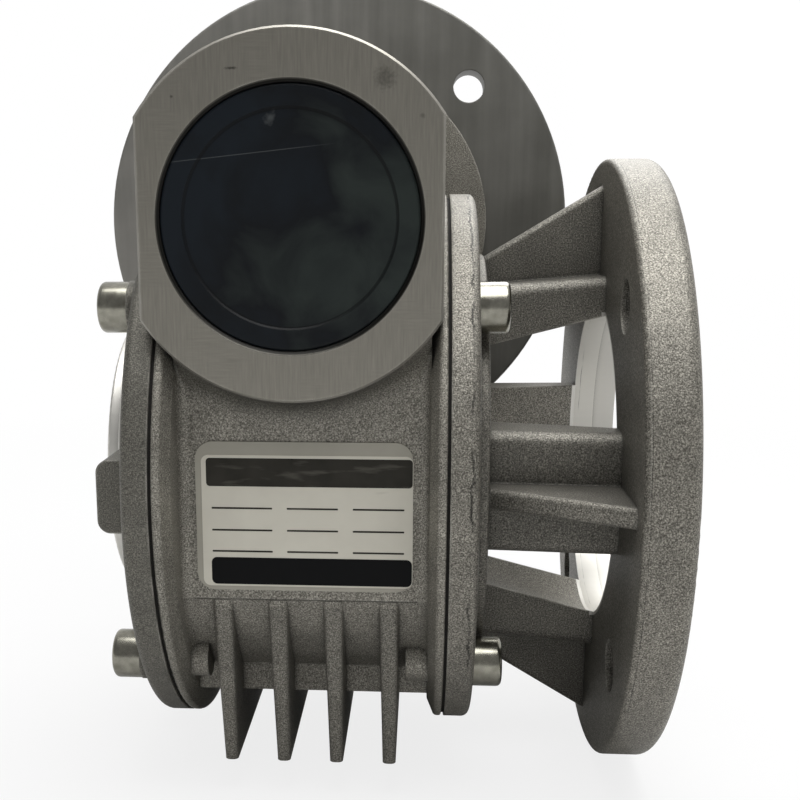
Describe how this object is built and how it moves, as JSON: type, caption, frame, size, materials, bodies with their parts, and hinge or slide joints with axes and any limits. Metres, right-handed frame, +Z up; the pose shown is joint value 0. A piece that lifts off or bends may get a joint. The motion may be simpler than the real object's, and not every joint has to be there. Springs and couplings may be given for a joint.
{
  "type": "worm gear reducer",
  "caption": "Right-angle worm gear reducer with a cast finned case, a round motor flange, a hollow keyed output shaft and a gusseted output flange.",
  "frame": {"origin": "on the axis of the output bore, midway between the two side covers", "axes": "+X along the output bore towards the output flange, +Y along the worm towards the motor flange, +Z up from the output axis to the worm axis"},
  "size_m": [0.1141, 0.1171, 0.1527],
  "materials": {
    "cast": "shot-blasted die casting",
    "flange_cast": "turned die casting",
    "zinc_steel": "zinc plated",
    "gasket": "pressed fibre sheet",
    "cap": "moulded rubber on a steel disc",
    "label": "thin sheet with printed bands",
    "hard_steel": "ground steel",
    "bronze": "hobbed bronze",
    "iron": "turned iron",
    "seal": "moulded lip seal"
  },
  "bodies": {
    "casing": {"gear_case": "cast", "output_flange_gasket": "gasket", "side_cover_gasket": "gasket", "side_cover": "cast", "output_flange": "cast", "motor_flange": "flange_cast", "output_flange_screws": "zinc_steel", "side_cover_screws": "zinc_steel", "motor_flange_screws": "zinc_steel", "end_cap": "cap", "nameplate": "label", "worm_circlip_blind": "hard_steel", "worm_circlip_motor": "hard_steel", "input_oil_seal": "seal", "output_oil_seal_right": "seal", "output_oil_seal_left": "seal", "worm_bearing_blind_outer": "hard_steel", "worm_bearing_blind_seals": "seal", "worm_bearing_motor_outer": "hard_steel", "worm_bearing_motor_seals": "seal", "wheel_bearing_right_outer": "hard_steel", "wheel_bearing_right_seals": "seal", "wheel_bearing_left_outer": "hard_steel", "wheel_bearing_left_seals": "seal"},
    "worm": {"worm_shaft": "hard_steel", "worm_bearing_blind_inner": "hard_steel", "worm_bearing_motor_inner": "hard_steel"},
    "wheel": {"wheel_rim": "bronze", "output_hub": "iron", "wheel_bearing_right_inner": "hard_steel", "wheel_bearing_left_inner": "hard_steel"}
  },
  "joints": [
    {"name": "wheel_spin", "type": "hinge", "parent": "casing", "child": "wheel", "pos_m": [0, 0, 0], "axis": [1, 0, 0], "continuous": true},
    {"name": "worm_spin", "type": "hinge", "parent": "casing", "child": "worm", "pos_m": [-0.00134, 0, 0.0446], "axis": [0, 1, 0], "continuous": true}
  ],
  "couplings": [
    {"joint": "worm_spin", "follows": "wheel_spin", "ratio": 10}
  ]
}
